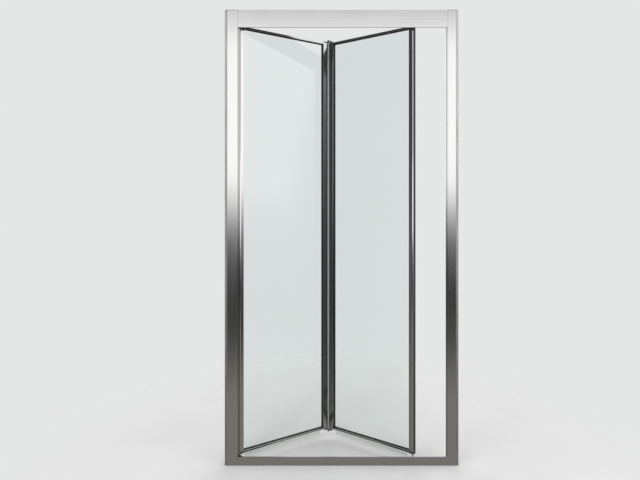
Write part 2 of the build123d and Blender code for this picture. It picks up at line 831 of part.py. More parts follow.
def guide_pins():
    # The leading leaf's guide pins: each has a hexagon on the leaf's side of its roller and a
    # thin nut on the other.
    for name, root, near, far, outwards in (
        ("upper_guide_pin", leaf_top - pin_in_leaf, top_roller_low, top_roller_high, 1),
        ("lower_guide_pin", leaf_bottom + pin_in_leaf, sill_roller_high, sill_roller_low, -1),
    ):
        shoulder = near - outwards * roller_side_gap
        nut_seat = far + outwards * roller_side_gap
        place = [(guide_x, 0)]
        with BuildPart() as pin:
            turned(guide_x, 0, [(guide_pin_radius, *sorted((root, nut_seat + outwards * guide_nut)))])
            prisms(Plane.XY.offset(shoulder), place, guide_hexagon, -outwards * guide_hexagon_height)
            prisms(Plane.XY.offset(nut_seat), place, guide_hexagon, outwards * guide_nut)
        save(pin, name)


def roller(name, radius, low, high):
    # A nylon roller, bored to run on its pin.
    with BuildPart() as wheel:
        turned(guide_x, 0, [(radius, low, high)])
        turned(guide_x, 0, [(guide_pin_radius + running_fit, low, high)], Mode.SUBTRACT)
    save(wheel, name)


def leading_strip():
    # The soft magnetic bumper that completes the round nose of the leading stile.
    with BuildPart() as strip:
        with BuildSketch(leading_leaf["plan"].offset(leaf_bottom)):
            Circle(nose_radius)
            bar(-nose_radius, -nose_strip_seat, outer_face, -outer_face, Mode.INTERSECT)
        extrude(amount=leaf_top - leaf_bottom)
    save(strip, "leading_magnet_strip")


def bracket_screws(leaf):
    # A screw holds each hinge bracket to the end of its centre stile.
    with BuildPart() as screws:
        for end, outwards in ((leaf_bottom, -1), (leaf_top, 1)):
            seat = leaf["plan"].offset(end + outwards * bracket_base)
            prisms(seat, bracket_ports(), frame_screw_head, outwards * frame_screw_head_height)
            prisms(seat, bracket_ports(), port_radius - screw_play, -outwards * frame_screw_length)
    save(screws, f"{leaf['name']}_bracket_screws")


def build_frame():
    wall_channel(-1, "wall_channel_left")
    wall_channel(1, "wall_channel_right")
    jamb(-1, "pivot_jamb", True)
    jamb(1, "closing_jamb", False)
    jamb_end_caps()
    header()
    header_fascia()
    threshold()
    water_bar()
    pivot_blocks()
    pivot_block_screws()
    track_stops()
    fin_seal()
    closing_strip()
    corner_screws()
    jamb_fixing_screws()


def build_leaf(leaf):
    leaf_name = leaf["name"]
    dropped = leaf is leading_leaf
    centre_stile(leaf, leaf is pivot_leaf)
    rail(leaf, f"{leaf_name}_bottom_rail", leaf_bottom, 1)
    rail(leaf, f"{leaf_name}_top_rail", leaf_top, -1)
    glass(leaf)
    gasket(leaf)
    wiper_seal(leaf)
    rail_screws(leaf)
    bracket_screws(leaf)
    hinge_bracket(leaf, f"{leaf_name}_lower_hinge_bracket", leaf_bottom, -1, dropped)
    hinge_bracket(leaf, f"{leaf_name}_upper_hinge_bracket", leaf_top, 1, dropped)


os.makedirs("parts", exist_ok=True)
build_frame()
build_leaf(pivot_leaf)
build_leaf(leading_leaf)
nose_stile(pivot_leaf, "pivot_stile", False)
nose_stile(leading_leaf, "leading_stile", True)
end_plugs(pivot_leaf, "pivot_plugs", pin_radius)
end_plugs(leading_leaf, "guide_plugs", guide_pin_radius)
pivot_pins()
hinge_pins()
centre_seal()
guide_pins()
roller("top_guide_roller", top_roller_radius, top_roller_low, top_roller_high)
roller("sill_guide_roller", sill_roller_radius, sill_roller_low, sill_roller_high)
leading_strip()
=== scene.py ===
import math
import bmesh
import bpy
from mathutils import Matrix, Vector


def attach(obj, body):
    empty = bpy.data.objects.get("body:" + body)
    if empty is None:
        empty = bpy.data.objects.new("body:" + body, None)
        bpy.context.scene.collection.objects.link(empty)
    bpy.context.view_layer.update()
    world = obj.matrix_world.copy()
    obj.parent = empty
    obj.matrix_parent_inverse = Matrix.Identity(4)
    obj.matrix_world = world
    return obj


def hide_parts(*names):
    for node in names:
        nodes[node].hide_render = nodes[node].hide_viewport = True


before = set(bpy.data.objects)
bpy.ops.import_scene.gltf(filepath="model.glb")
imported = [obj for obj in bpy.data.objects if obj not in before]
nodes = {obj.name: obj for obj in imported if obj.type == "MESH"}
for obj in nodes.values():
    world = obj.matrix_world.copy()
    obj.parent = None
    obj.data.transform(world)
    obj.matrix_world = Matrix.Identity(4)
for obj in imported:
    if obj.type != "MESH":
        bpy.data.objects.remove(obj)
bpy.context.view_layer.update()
millimetre = 0.001

# The leaves as they stand in the photo, half folded.
fold = math.radians(33.5)
leafReach = 440.0
leafHalf = 12.0
leafBottom = 46.0
leafTop = 1885.0
pivotAxis = -440.0
hingeX = pivotAxis + leafReach * math.cos(fold) + leafHalf * math.sin(fold)
hingeY = leafReach * math.sin(fold) - leafHalf * math.cos(fold)
guideAxis = 2 * hingeX - pivotAxis


def leafPlace(originX, turn):
    # Leaf space is (along the leaf, through it, upwards), all in millimetres.
    along = Vector((math.cos(turn), math.sin(turn), 0))
    through = Vector((-math.sin(turn), math.cos(turn), 0))
    place = Matrix.Identity(4)
    for column, axis in enumerate((along, through, Vector((0, 0, 1)))):
        for row in range(3):
            place[row][column] = axis[row]
    place.translation = Vector((originX, 0, 0))
    return place


leaves = {
    "pivot_leaf": {"place": leafPlace(pivotAxis, fold), "hand": 1},
    "leading_leaf": {"place": leafPlace(guideAxis, math.pi - fold), "hand": -1},
}
world = Matrix.Identity(4)


# Materials

def link(tree, source, target):
    tree.links.new(source, target)


def addNode(tree, kind, **settings):
    node = tree.nodes.new(kind)
    for key, value in settings.items():
        setattr(node, key, value)
    return node


def newMaterial(name, colour, roughness, metallic=0.0):
    material = bpy.data.materials.new(name)
    material.use_nodes = True
    tree = material.node_tree
    shader = tree.nodes["Principled BSDF"]
    shader.inputs["Base Color"].default_value = (*colour, 1)
    shader.inputs["Roughness"].default_value = roughness
    shader.inputs["Metallic"].default_value = metallic
    return material, tree, shader


def coordinates(tree, scale, turn=0.0):
    # Object coordinates, turned about the upright axis and then stretched.
    source = addNode(tree, "ShaderNodeTexCoord")
    turned = addNode(tree, "ShaderNodeMapping")
    turned.inputs["Rotation"].default_value = (0, 0, turn)
    scaled = addNode(tree, "ShaderNodeMapping")
    scaled.inputs["Scale"].default_value = scale
    link(tree, source.outputs["Object"], turned.inputs["Vector"])
    link(tree, turned.outputs["Vector"], scaled.inputs["Vector"])
    return scaled.outputs["Vector"]


def noise(tree, vector, scale=1.0, detail=4.0, roughness=0.55):
    node = addNode(tree, "ShaderNodeTexNoise")
    node.inputs["Scale"].default_value = scale
    node.inputs["Detail"].default_value = detail
    node.inputs["Roughness"].default_value = roughness
    link(tree, vector, node.inputs["Vector"])
    return node.outputs["Fac"]


def spread(tree, value, low, high, fromLow=0.3, fromHigh=0.7):
    node = addNode(tree, "ShaderNodeMapRange")
    node.inputs["From Min"].default_value = fromLow
    node.inputs["From Max"].default_value = fromHigh
    node.inputs["To Min"].default_value = low
    node.inputs["To Max"].default_value = high
    link(tree, value, node.inputs["Value"])
    return node.outputs["Result"]


def tint(tree, value, first, second):
    node = addNode(tree, "ShaderNodeMix", data_type="RGBA")
    node.inputs["A"].default_value = (*first, 1)
    node.inputs["B"].default_value = (*second, 1)
    link(tree, value, node.inputs["Factor"])
    return node.outputs["Result"]


def together(tree, first, second, share):
    node = addNode(tree, "ShaderNodeMix", data_type="FLOAT")
    node.inputs["Factor"].default_value = share
    link(tree, first, node.inputs["A"])
    link(tree, second, node.inputs["B"])
    return node.outputs["Result"]


def bump(tree, shader, height, distance, strength=1.0):
    node = addNode(tree, "ShaderNodeBump")
    node.inputs["Distance"].default_value = distance
    node.inputs["Strength"].default_value = strength
    link(tree, height, node.inputs["Height"])
    link(tree, node.outputs["Normal"], shader.inputs["Normal"])


def polishedAluminium(name, stretch, turn=0.0):
    # Bright anodised extrusion: fine die lines along the member, and faint wipe marks.
    material, tree, shader = newMaterial(name, (0.80, 0.80, 0.79), 0.16, 1.0)
    lines = noise(tree, coordinates(tree, stretch, turn), 1.0, 5.0, 0.6)
    wipes = noise(tree, coordinates(tree, (7, 7, 3)), 1.0, 3.0, 0.5)
    link(tree, spread(tree, together(tree, lines, wipes, 0.45), 0.07, 0.16), shader.inputs["Roughness"])
    tone = tint(tree, spread(tree, lines, 0.0, 1.0), (0.76, 0.76, 0.75), (0.84, 0.84, 0.83))
    link(tree, tone, shader.inputs["Base Color"])
    bump(tree, shader, lines, 0.00003, 0.5)
    return material


def satinAluminium():
    material, tree, shader = newMaterial("satinAluminium", (0.66, 0.66, 0.65), 0.38, 1.0)
    lines = noise(tree, coordinates(tree, (500, 500, 4)), 1.0, 5.0, 0.65)
    stains = noise(tree, coordinates(tree, (18, 18, 9)), 1.0, 4.0, 0.6)
    tone = tint(tree, spread(tree, stains, 0.0, 1.0), (0.58, 0.58, 0.57), (0.70, 0.70, 0.70))
    link(tree, tone, shader.inputs["Base Color"])
    link(tree, spread(tree, lines, 0.30, 0.46), shader.inputs["Roughness"])
    bump(tree, shader, lines, 0.00005, 0.6)
    return material


def clearGlass():
    # Toughened float glass: the faint green of the iron, and a slight roller wave.
    material, tree, shader = newMaterial("clearGlass", (0.93, 0.975, 0.965), 0.0)
    shader.inputs["Transmission Weight"].default_value = 1.0
    shader.inputs["IOR"].default_value = 1.5
    wave = noise(tree, coordinates(tree, (3, 3, 1.4)), 1.0, 1.0, 0.4)
    bump(tree, shader, wave, 0.0006, 0.15)
    marks = noise(tree, coordinates(tree, (9, 9, 5)), 1.0, 6.0, 0.6)
    link(tree, spread(tree, marks, 0.0, 0.03, 0.45, 0.8), shader.inputs["Roughness"])
    return material


def darkFin():
    # Smooth extruded fin with a metallised face that mirrors the room at half strength.
    material, tree, shader = newMaterial("darkFin", (0.46, 0.45, 0.42), 0.12, 1.0)
    lines = noise(tree, coordinates(tree, (900, 900, 3)), 1.0, 4.0, 0.6)
    link(tree, spread(tree, lines, 0.08, 0.17), shader.inputs["Roughness"])
    tone = tint(tree, spread(tree, lines, 0.0, 1.0), (0.42, 0.41, 0.38), (0.50, 0.49, 0.46))
    link(tree, tone, shader.inputs["Base Color"])
    bump(tree, shader, lines, 0.00003, 0.5)
    return material


def blackGasket():
    material, tree, shader = newMaterial("blackGasket", (0.022, 0.022, 0.023), 0.5)
    fine = noise(tree, coordinates(tree, (1400, 1400, 1400)), 1.0, 3.0, 0.6)
    dust = noise(tree, coordinates(tree, (60, 60, 25)), 1.0, 5.0, 0.6)
    tone = tint(tree, spread(tree, dust, 0.0, 1.0, 0.42, 0.75), (0.018, 0.018, 0.019), (0.045, 0.045, 0.044))
    link(tree, tone, shader.inputs["Base Color"])
    link(tree, spread(tree, dust, 0.40, 0.62), shader.inputs["Roughness"])
    bump(tree, shader, fine, 0.00004, 0.5)
    return material


def clearSeal(name, dark, light, through):
    # Soft clear plastic with the faint lines of its die.
    material, tree, shader = newMaterial(name, dark, 0.08)
    shader.inputs["Transmission Weight"].default_value = through
    shader.inputs["IOR"].default_value = 1.4
    lines = noise(tree, coordinates(tree, (420, 420, 4)), 1.0, 3.0, 0.5)
    link(tree, spread(tree, lines, 0.04, 0.12), shader.inputs["Roughness"])
    cloud = noise(tree, coordinates(tree, (20, 20, 6)), 1.0, 3.0, 0.5)
    link(tree, tint(tree, spread(tree, cloud, 0.0, 1.0), dark, light), shader.inputs["Base Color"])
    bump(tree, shader, lines, 0.00002, 0.4)
    return material


def moulding(name, dark, light, roughness):
    # Moulded plastic with a fine spark-eroded grain.
    material, tree, shader = newMaterial(name, dark, roughness)
    grain = addNode(tree, "ShaderNodeTexVoronoi")
    grain.inputs["Scale"].default_value = 1500.0
    link(tree, coordinates(tree, (1, 1, 1)), grain.inputs["Vector"])
    mottle = noise(tree, coordinates(tree, (70, 70, 70)), 1.0, 4.0, 0.55)
    link(tree, tint(tree, spread(tree, mottle, 0.0, 1.0), dark, light), shader.inputs["Base Color"])
    link(tree, spread(tree, mottle, roughness - 0.07, roughness + 0.08), shader.inputs["Roughness"])
    bump(tree, shader, grain.outputs["Distance"], 0.00006, 0.6)
    return material


def turnedSteel():
    # Rings left by the lathe run round each upright pin.
    material, tree, shader = newMaterial("turnedSteel", (0.60, 0.60, 0.59), 0.24, 1.0)
    rings = noise(tree, coordinates(tree, (40, 40, 3800)), 1.0, 2.0, 0.5)
    film = noise(tree, coordinates(tree, (130, 130, 130)), 1.0, 4.0, 0.6)
    link(tree, spread(tree, rings, 0.17, 0.36), shader.inputs["Roughness"])
    tone = tint(tree, spread(tree, film, 0.0, 1.0), (0.53, 0.53, 0.52), (0.66, 0.66, 0.65))
    link(tree, tone, shader.inputs["Base Color"])
    bump(tree, shader, rings, 0.00003, 0.5)
    return material


def chromeCap():
    # Bright plating over a moulding, with the moulding's slight ripple.
    material, tree, shader = newMaterial("chromeCap", (0.82, 0.82, 0.83), 0.06, 1.0)
    ripple = noise(tree, coordinates(tree, (260, 260, 260)), 1.0, 2.0, 0.5)
    haze = noise(tree, coordinates(tree, (900, 900, 900)), 1.0, 4.0, 0.6)
    link(tree, spread(tree, haze, 0.04, 0.15), shader.inputs["Roughness"])
    bump(tree, shader, ripple, 0.00008, 0.35)
    return material


def magnetStrip():
    material, tree, shader = newMaterial("magnetStrip", (0.045, 0.045, 0.05), 0.42)
    lines = noise(tree, coordinates(tree, (900, 900, 6)), 1.0, 4.0, 0.6)
    grain = noise(tree, coordinates(tree, (2600, 2600, 2600)), 1.0, 2.0, 0.5)
    tone = tint(tree, spread(tree, grain, 0.0, 1.0), (0.032, 0.032, 0.036), (0.07, 0.07, 0.076))
    link(tree, tone, shader.inputs["Base Color"])
    link(tree, spread(tree, lines, 0.32, 0.52), shader.inputs["Roughness"])
    bump(tree, shader, lines, 0.00004, 0.5)
    return material


upright = polishedAluminium("polishedUpright", (620, 620, 3))
level = polishedAluminium("polishedLevel", (3, 620, 620))
pivotRail = polishedAluminium("polishedPivotRail", (3, 620, 620), -fold)
leadingRail = polishedAluminium("polishedLeadingRail", (3, 620, 620), fold)
satin = satinAluminium()
glass = clearGlass()
rubber = blackGasket()
clear = clearSeal("clearSeal", (0.93, 0.95, 0.945), (0.97, 0.985, 0.98), 0.97)
bulb = clearSeal("bulbSeal", (0.46, 0.50, 0.48), (0.54, 0.58, 0.56), 0.35)
finGrey = darkFin()
grey = moulding("greyMoulding", (0.10, 0.10, 0.105), (0.15, 0.15, 0.155), 0.46)
nylon = moulding("whiteNylon", (0.74, 0.73, 0.69), (0.82, 0.81, 0.78), 0.40)
nylon.node_tree.nodes["Principled BSDF"].inputs["Subsurface Weight"].default_value = 0.12
nylon.node_tree.nodes["Principled BSDF"].inputs["Subsurface Radius"].default_value = (0.002, 0.002, 0.0016)
steel = turnedSteel()
chrome = chromeCap()
magnet = magnetStrip()

finishes = {
    "wall_channel_left": satin,
    "wall_channel_right": satin,
    "pivot_jamb": upright,
    "closing_jamb": upright,
    "jamb_end_caps": grey,
    "header_beam": level,
    "header_track_front": level,
    "header_track_rear": level,
    "header_fascia": level,
    "threshold_plate": level,
    "threshold_front_ridge": level,
    "threshold_rear_ridge": level,
    "water_bar": level,
    "lower_pivot_block": grey,
    "upper_pivot_block": grey,
    "pivot_bushes": nylon,
    "pivot_block_screws": steel,
    "close_stop": grey,
    "open_stop": grey,
    "jamb_fin_seal": finGrey,
    "closing_magnet_strip": magnet,
    "corner_screws": steel,
    "jamb_fixing_screws": steel,
    "screw_cover_caps": chrome,
    "pivot_stile": upright,
    "leading_stile": upright,
    "centre_seal": clear,
    "pivot_plugs": grey,
    "guide_plugs": grey,
    "lower_pivot_pin": steel,
    "upper_pivot_pin": steel,
    "lower_hinge_pin": steel,
    "upper_hinge_pin": steel,
    "lower_guide_pin": steel,
    "upper_guide_pin": steel,
    "leading_magnet_strip": magnet,
    "top_guide_roller": nylon,
    "sill_guide_roller": nylon,
}
for leafName, railFinish in (("pivot_leaf", pivotRail), ("leading_leaf", leadingRail)):
    finishes[f"{leafName}_centre_stile"] = upright
    finishes[f"{leafName}_bottom_rail"] = railFinish
    finishes[f"{leafName}_top_rail"] = railFinish
    finishes[f"{leafName}_glass"] = glass
    finishes[f"{leafName}_gasket"] = rubber
    finishes[f"{leafName}_wiper_seal"] = clear
    finishes[f"{leafName}_rail_screws"] = steel
    finishes[f"{leafName}_bracket_screws"] = steel
    finishes[f"{leafName}_lower_hinge_bracket"] = grey
    finishes[f"{leafName}_upper_hinge_bracket"] = grey

for name, piece in nodes.items():
    piece.data.materials.clear()
    piece.data.materials.append(finishes[name])
print("finished the frame's surfaces:", len(nodes))

# Every sharp edge of the extrusions and mouldings gets the small radius of the real ones.
edgeRadius = {"metal": 0.35, "moulding": 0.5}
softened = (
    "pivot_jamb", "closing_jamb", "header_beam", "header_track_front", "header_track_rear",
    "header_fascia", "threshold_plate", "threshold_front_ridge", "threshold_rear_ridge",
    "water_bar", "pivot_stile", "leading_stile", "pivot_leaf_centre_stile",
    "leading_leaf_centre_stile", "pivot_leaf_bottom_rail", "pivot_leaf_top_rail",
    "leading_leaf_bottom_rail", "leading_leaf_top_rail", "jamb_end_caps",
    "lower_pivot_block", "upper_pivot_block", "close_stop", "open_stop",
    "pivot_leaf_lower_hinge_bracket", "pivot_leaf_upper_hinge_bracket",
    "leading_leaf_lower_hinge_bracket", "leading_leaf_upper_hinge_bracket",
    "pivot_bushes", "pivot_plugs", "guide_plugs",
)
for name in softened:
    piece = nodes[name]
    weld = piece.modifiers.new("join", "WELD")
    weld.merge_threshold = 0.00001
    edges = piece.modifiers.new("edges", "BEVEL")
    kind = "moulding" if finishes[name] is grey else "metal"
    edges.width = edgeRadius[kind] * millimetre
    edges.segments = 2
    edges.limit_method = "ANGLE"
    edges.angle_limit = math.radians(35)
    edges.harden_normals = True
print("softened edges:", len(softened))


# New pieces, each modelled in millimetres and placed at the end

def addChain(form, places):
    # A run of straight edges through the places.
    verts = [form.verts.new(place) for place in places]
    for first, second in zip(verts, verts[1:]):
        form.edges.new((first, second))
    return verts


def fillOutline(form, places):
    verts = [form.verts.new(place) for place in places]
    face = form.faces.new(verts)
    face.normal_update()
    return face


def pull(form, faces, offset):
    # Extrude faces into a closed form.
    made = bmesh.ops.extrude_face_region(form, geom=faces)["geom"]
    moved = [item for item in made if isinstance(item, bmesh.types.BMVert)]
    bmesh.ops.translate(form, vec=offset, verts=moved)


def pullEdges(form, edges, offset):
    # Extrude a run of edges into a sheet.
    made = bmesh.ops.extrude_edge_only(form, edges=edges)["geom"]
    moved = [item for item in made if isinstance(item, bmesh.types.BMVert)]
    bmesh.ops.translate(form, vec=offset, verts=moved)


def roundEdges(form, edges, radius, segments=3):
    bmesh.ops.bevel(form, geom=edges, offset=radius, offset_type="OFFSET", segments=segments,
                    profile=0.5, affect="EDGES", material=-1, clamp_overlap=True)


def sharpEdges(form, degrees=40):
    form.normal_update()
    return [
        edge for edge in form.edges
        if len(edge.link_faces) == 2 and edge.calc_face_angle(0) > math.radians(degrees)
    ]


def turn(form, profile, steps=48):
    # Spin a profile of (radius, height) about the upright axis of the piece.
    verts = addChain(form, [(radius, 0, height) for radius, height in profile])
    edges = [edge for vert in verts for edge in vert.link_edges]
    bmesh.ops.spin(form, geom=verts + list(set(edges)), cent=(0, 0, 0), axis=(0, 0, 1),
                   angle=math.tau, steps=steps, use_merge=True)


def mend(form):
    bmesh.ops.remove_doubles(form, verts=form.verts, dist=0.0005)
    bmesh.ops.recalc_face_normals(form, faces=form.faces)


def makePiece(form, name, finish, body, replaced=(), place=world):
    # Scale to metres, put in place, and hand the piece to the frame.
    mend(form)
    bmesh.ops.transform(form, matrix=Matrix.Scale(millimetre, 4) @ place, verts=form.verts)
    mesh = bpy.data.meshes.new(name)
    form.to_mesh(mesh)
    form.free()
    mesh.shade_smooth()
    mesh.set_sharp_from_angle(angle=math.radians(32))
    mesh.materials.append(finish)
    piece = bpy.data.objects.new(name, mesh)
    bpy.context.collection.objects.link(piece)
    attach(piece, body)
    if replaced:
        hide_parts(*replaced)
    return piece


def addForm(form, other):
    # Join another bmesh to this one.
    spare = bpy.data.meshes.new("spare")
    other.to_mesh(spare)
    other.free()
    form.from_mesh(spare)
    bpy.data.meshes.remove(spare)


def inLeaf(leafName, distance, side, height):
    # A place in a leaf's own space, with the side given from the front of the leaf.
    return distance, leaves[leafName]["hand"] * side, height


gasketForm = {"near": 16.0, "far": 410.0, "low": 57.0, "high": 1874.0,
              "lip": 8.0, "glassSide": 3.0, "face": 4.75, "round": 1.2}


def buildGasket(leafName):
    # A mitred loop on each side of the glass, with a rounded lip over the pane.
    near, far, low, high = (gasketForm[key] for key in ("near", "far", "low", "high"))
    lip = gasketForm["lip"]
    inside, face = gasketForm["glassSide"], gasketForm["face"]
    form = bmesh.new()
    loop = fillOutline(form, [
        (near - lip, inside, low - lip), (far + lip, inside, low - lip),
        (far + lip, inside, high + lip), (near - lip, inside, high + lip),
    ])
    ring = bmesh.ops.inset_region(form, faces=[loop], thickness=lip, use_boundary=True,
                                  use_even_offset=True)["faces"]
    bmesh.ops.delete(form, geom=[loop], context="FACES_ONLY")
    pull(form, ring, (0, face - inside, 0))
    bmesh.ops.recalc_face_normals(form, faces=form.faces)
    lipEdges = [
        edge for edge in form.edges
        if all(
            abs(vert.co.y - face) < 0.01 and near - 0.1 < vert.co.x < far + 0.1
            and low - 0.1 < vert.co.z < high + 0.1
            for vert in edge.verts
        )
    ]
    roundEdges(form, lipEdges, gasketForm["round"])
    bmesh.ops.mirror(form, geom=form.verts[:] + form.edges[:] + form.faces[:], axis="Y", merge_dist=0)
    makePiece(form, f"{leafName}_gasket_loop", rubber, leafName,
              (f"{leafName}_gasket",), leaves[leafName]["place"])


wiperForm = {
    "start": 26.0, "end": 400.0, "flange": 2.4, "half": 7.0, "key": 1.6, "keyHalf": 1.5,
    "root": 4.35, "knee": 34.0, "bendRadius": 12.55, "bend": 45.8, "blade": 0.9,
}


def buildWiper(leafName):
    # A black carrier clipped in the rail, and two thin clear blades that bend outwards.
    start = wiperForm["start"]
    length = wiperForm["end"] - start
    under = leafBottom - wiperForm["flange"]
    half, keyHalf = wiperForm["half"], wiperForm["keyHalf"]
    keyTop = leafBottom + wiperForm["key"]
    carrier = bmesh.new()
    section = fillOutline(carrier, [
        (start, -half, under), (start, half, under), (start, half, leafBottom),
        (start, keyHalf, leafBottom), (start, keyHalf, keyTop), (start, -keyHalf, keyTop),
        (start, -keyHalf, leafBottom), (start, -half, leafBottom),
    ])
    pull(carrier, [section], (length, 0, 0))
    bmesh.ops.recalc_face_normals(carrier, faces=carrier.faces)
    lower = [
        edge for edge in carrier.edges
        if edge.calc_length() > length - 1 and all(vert.co.z < under + 0.01 for vert in edge.verts)
    ]
    roundEdges(carrier, lower, 0.8)
    makePiece(carrier, f"{leafName}_wiper_carrier", rubber, leafName,
              (f"{leafName}_wiper_seal",), leaves[leafName]["place"])
    blades = bmesh.new()
    root, knee = wiperForm["root"], wiperForm["knee"]
    for side in (-1, 1):
        top, turning = addChain(blades, [(start, side * root, under), (start, side * root, knee)])
        bmesh.ops.spin(
            blades, geom=[turning], cent=(start, side * (root + wiperForm["bendRadius"]), knee),
            axis=(1, 0, 0), angle=side * math.radians(wiperForm["bend"]), steps=8,
        )
    pullEdges(blades, blades.edges[:], (length, 0, 0))
    bmesh.ops.remove_doubles(blades, verts=blades.verts, dist=0.0005)
    bmesh.ops.recalc_face_normals(blades, faces=blades.faces)
    bmesh.ops.solidify(blades, geom=blades.faces[:], thickness=wiperForm["blade"])
    makePiece(blades, f"{leafName}_wiper_blades", clear, leafName,
              (f"{leafName}_wiper_seal",), leaves[leafName]["place"])


finForm = {"corner": (-454.0, -20.0), "foot": 3.0, "low": 22.0, "high": 1907.0,
           "start": (-452.5, -18.5), "lean": 19.5, "length": 16.0, "sag": 1.0, "bead": 0.8}


def buildFinSeal():
    # The fin behind the lip of the pivot jamb: a curved blade with a soft bead at its tip.
    low, high = finForm["low"], finForm["high"]
    foot = finForm["foot"]
    left, front = finForm["corner"]
    form = bmesh.new()
    base = fillOutline(form, [(left, front, low), (left + foot, front, low),
                              (left + foot, front + foot, low), (left, front + foot, low)])
    pull(form, [base], (0, 0, high - low))
    bmesh.ops.recalc_face_normals(form, faces=form.faces)
    blade = bmesh.new()
    chord, sag = finForm["length"], finForm["sag"]
    radius = chord ** 2 / (8 * sag) + sag / 2
    sweep = 2 * math.asin(chord / 2 / radius)
    lean = math.radians(finForm["lean"])
    startX, startY = finForm["start"]
    middle = Vector((startX, startY, low)) + Vector((math.cos(lean), math.sin(lean), 0)) * chord / 2
    centre = middle + Vector((-math.sin(lean), math.cos(lean), 0)) * (radius - sag)
    first = blade.verts.new((startX, startY, low))
    bmesh.ops.spin(blade, geom=[first], cent=centre, axis=(0, 0, 1), angle=sweep, steps=12)
    blade.verts.ensure_lookup_table()
    tip = blade.verts[-1].co.copy()
    pullEdges(blade, blade.edges[:], (0, 0, high - low))
    bmesh.ops.solidify(blade, geom=blade.faces[:], thickness=1.0)
    bead = bmesh.ops.create_circle(blade, cap_ends=True, segments=16, radius=finForm["bead"])["verts"]
    bmesh.ops.translate(blade, vec=tip, verts=bead)
    pull(blade, list({face for vert in bead for face in vert.link_faces}), (0, 0, high - low))
    addForm(form, blade)
    makePiece(form, "jamb_fin", finGrey, "frame", ("jamb_fin_seal",))


hingeSeal = {
    "radius": 4.75, "wall": 0.9, "segments": 40,
    "body": ((431.15, -11.7), (435.15, -11.7), (436.1, -9.2), (436.1, -8.4), (431.15, -8.4)),
    "fin": ((427.6, -10.7), (431.2, -10.7), (431.2, -9.5), (427.6, -9.5)),
    "lip": ((431.15, -11.7), (434.7, -11.7), (434.9, -10.9), (434.4, -8.8), (431.15, -8.8)),
}


def buildHingeSeal():
    # A clear tube on the line of the hinge, between a black carrier and a black lip.
    height = leafTop - leafBottom
    tube = bmesh.new()
    for radius in (hingeSeal["radius"], hingeSeal["radius"] - hingeSeal["wall"]):
        bmesh.ops.create_circle(tube, cap_ends=False, segments=hingeSeal["segments"], radius=radius)
    bmesh.ops.bridge_loops(tube, edges=tube.edges[:])
    bmesh.ops.translate(tube, vec=(leafReach, -leafHalf, leafBottom), verts=tube.verts)
    pull(tube, tube.faces[:], (0, 0, height))
    makePiece(tube, "centre_seal_tube", bulb, "pivot_leaf", ("centre_seal",),
              leaves["pivot_leaf"]["place"])
    for name, leafName, outlines in (
        ("centre_seal_carrier", "pivot_leaf", (hingeSeal["body"], hingeSeal["fin"])),
        ("centre_seal_lip", "leading_leaf", (hingeSeal["lip"],)),
    ):
        form = bmesh.new()
        for outline in outlines:
            section = fillOutline(form, [inLeaf(leafName, x, y, leafBottom) for x, y in outline])
            pull(form, [section], (0, 0, height))
        bmesh.ops.recalc_face_normals(form, faces=form.faces)
        roundEdges(form, [edge for edge in form.edges if edge.calc_length() > height - 1], 0.35, 2)
        replaced = ("centre_seal",) if leafName == "pivot_leaf" else ()
        makePiece(form, name, rubber, leafName, replaced, leaves[leafName]["place"])


bumperForm = {"radius": 12.0, "seat": 7.5, "steps": 32, "groove": 0.5}


def buildBumper():
    # The black half-round bumper on the leading nose, with two fine drawn grooves.
    radius, seat = bumperForm["radius"], bumperForm["seat"]
    start = math.acos(-seat / radius)
    form = bmesh.new()
    first = form.verts.new((radius * math.cos(start), radius * math.sin(start), leafBottom))
    bmesh.ops.spin(form, geom=[first], cent=(0, 0, leafBottom), axis=(0, 0, 1),
                   angle=2 * (math.pi - start), steps=bumperForm["steps"])
    form.verts.ensure_lookup_table()
    trail = form.verts[:]
    for number in (8, bumperForm["steps"] - 8):
        shrink = (radius - bumperForm["groove"]) / radius
        trail[number].co.x *= shrink
        trail[number].co.y *= shrink
    form.edges.new((trail[-1], trail[0]))
    section = bmesh.ops.contextual_create(form, geom=form.edges[:])["faces"]
    pull(form, section, (0, 0, leafTop - leafBottom))
    makePiece(form, "leading_bumper", magnet, "leading_leaf",
              ("leading_magnet_strip",), leaves["leading_leaf"]["place"])


# Fixings

crossHead = {"segments": 28, "arm": 1.9, "half": 0.45, "depth": 1.2, "taper": 0.65, "shank": 2.05}


